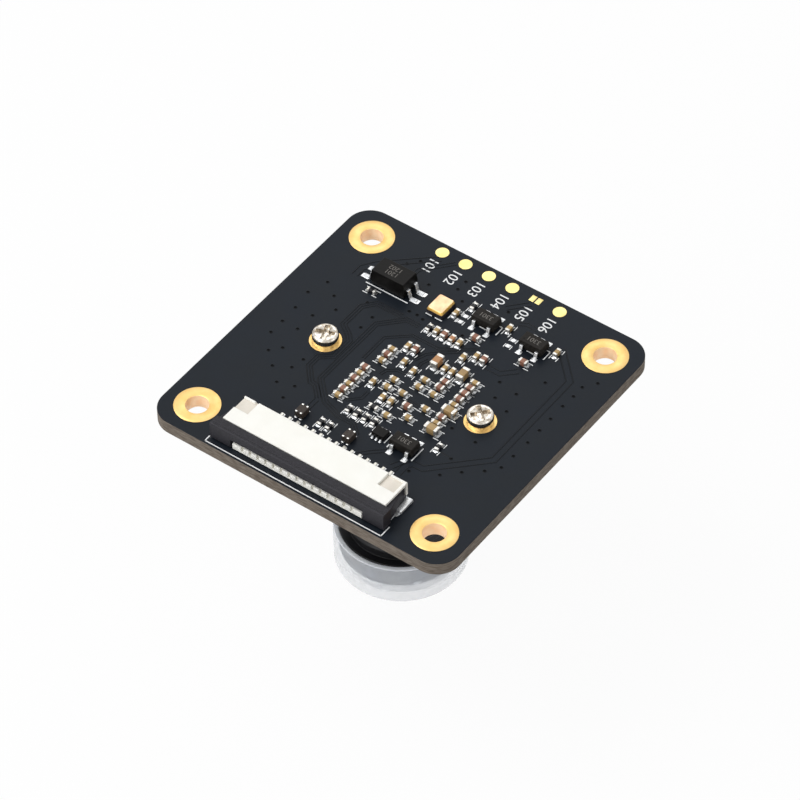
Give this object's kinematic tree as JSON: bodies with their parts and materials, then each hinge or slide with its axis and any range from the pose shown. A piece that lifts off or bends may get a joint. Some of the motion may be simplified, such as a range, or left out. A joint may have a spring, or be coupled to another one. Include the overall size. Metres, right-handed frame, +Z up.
{
  "type": "camera module",
  "caption": "Square circuit board with a capped screw-in lens below, and a ribbon cable connector with a sliding latch and small chips above.",
  "frame": {"origin": "middle of the board's outline, at the height of the lens cap's closed end that it stands on", "axes": "+Z up from the lens cap to the component side of the board, -Y towards the board edge with the ribbon cable connector, +X along that edge"},
  "size_m": [0.038, 0.038, 0.0297],
  "materials": {
    "solder_mask": "satin black solder mask on laminate",
    "gold_plating": "satin gold plating",
    "solder": "bright solder",
    "screw_nickel": "bright nickel",
    "white_nylon": "smooth white moulding",
    "black_nylon": "fine matte moulding",
    "tinned_contact": "bright tin",
    "tin_plate": "bright tin",
    "black_epoxy": "matte moulding",
    "dark_ceramic": "satin",
    "gold_lid": "satin gold",
    "ferrite": "satin dark ceramic",
    "tin_ends": "bright tin",
    "tan_ceramic": "satin",
    "brown_ceramic": "satin",
    "olive_ceramic": "satin",
    "resistor_coat": "gloss",
    "holder_plastic": "matte",
    "sensor_package": "satin",
    "clear_glass": "polished",
    "filter_glass": "polished",
    "anodised_barrel": "matte black anodising",
    "coated_glass": "polished and coated",
    "cap_plastic": "translucent soft white"
  },
  "bodies": {
    "module": {"board": "solder_mask", "hole_linings": "gold_plating", "test_pads": "gold_plating", "screw_pads": "gold_plating", "solder_pads": "solder", "holder_screws": "screw_nickel", "connector_housing": "white_nylon", "connector_contacts": "tinned_contact", "connector_brackets": "tin_plate", "optocoupler_body": "black_epoxy", "optocoupler_leads": "tin_plate", "oscillator_base": "dark_ceramic", "oscillator_lid": "gold_lid", "regulator_bodies": "black_epoxy", "regulator_leads": "tin_plate", "logic_chip_body": "black_epoxy", "logic_chip_leads": "tin_plate", "choke_bodies": "ferrite", "choke_terminals": "tin_ends", "tan_capacitors": "tan_ceramic", "brown_capacitors": "brown_ceramic", "large_capacitors": "olive_ceramic", "capacitor_ends": "tin_ends", "resistor_bodies": "resistor_coat", "resistor_ends": "tin_ends", "lens_holder": "holder_plastic", "image_sensor": "sensor_package", "sensor_window": "clear_glass", "filter_glass": "filter_glass"},
    "latch": {"connector_latch": "black_nylon"},
    "lens": {"lens_barrel": "anodised_barrel", "retaining_ring": "anodised_barrel", "front_element": "coated_glass", "spacer_sleeve": "anodised_barrel", "rear_element": "coated_glass"},
    "cap": {"lens_cap": "cap_plastic"}
  },
  "joints": [
    {"name": "latch_slide", "type": "slide", "parent": "module", "child": "latch", "axis": [0, -1, 0], "range_m": [0, 0.0012]},
    {"name": "lens_focus", "type": "hinge", "parent": "module", "child": "lens", "pos_m": [-0.0003, -0.0002, 0.017], "axis": [0, 0, 1], "range_deg": [-180, 180]},
    {"name": "cap_pull", "type": "slide", "parent": "lens", "child": "cap", "axis": [0, 0, -1], "range_m": [0, 0.005]}
  ]
}
